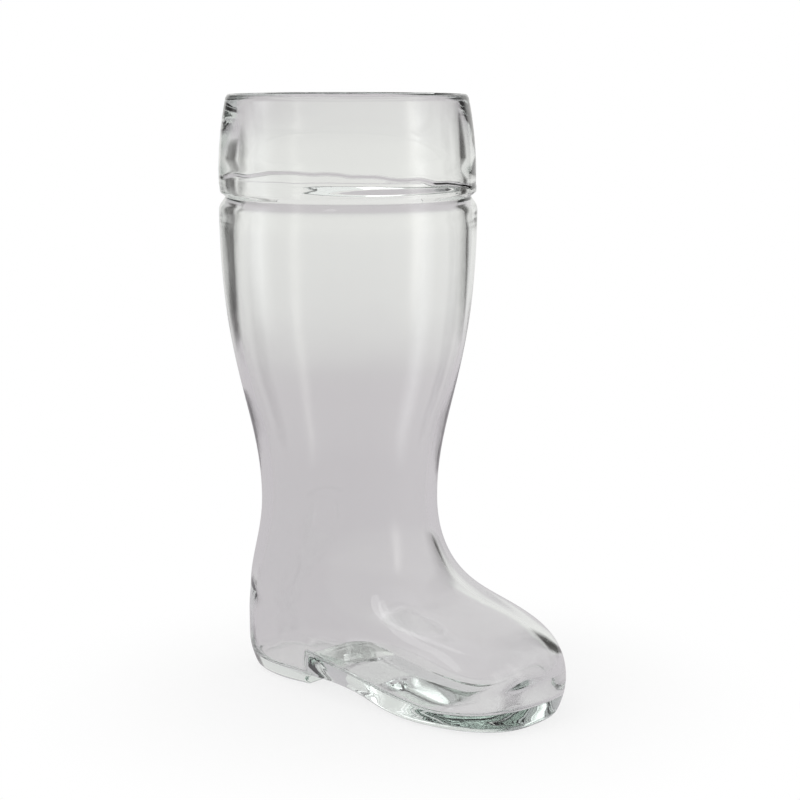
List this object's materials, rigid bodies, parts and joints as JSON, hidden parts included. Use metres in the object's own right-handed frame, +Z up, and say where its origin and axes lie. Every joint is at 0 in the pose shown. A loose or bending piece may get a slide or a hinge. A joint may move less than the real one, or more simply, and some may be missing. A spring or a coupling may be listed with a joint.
{
  "type": "beer boot glass",
  "caption": "Boot-shaped drinking glass of thick clear glass, with a barrel cuff above a ring groove, a tapering calf, a ridged inner floor and a separate-looking heel.",
  "frame": {"origin": "on the ground, under the middle of the boot's bounding box", "axes": "+Z up to the rim, +X towards the toe, +Y across the foot"},
  "size_m": [0.1594, 0.1078, 0.25],
  "materials": {
    "clear_glass": "smooth polished, faintly grey"
  },
  "bodies": {
    "root": {"cuff": "clear_glass", "shaft": "clear_glass", "foot": "clear_glass", "sole": "clear_glass", "heel": "clear_glass"}
  },
  "joints": []
}
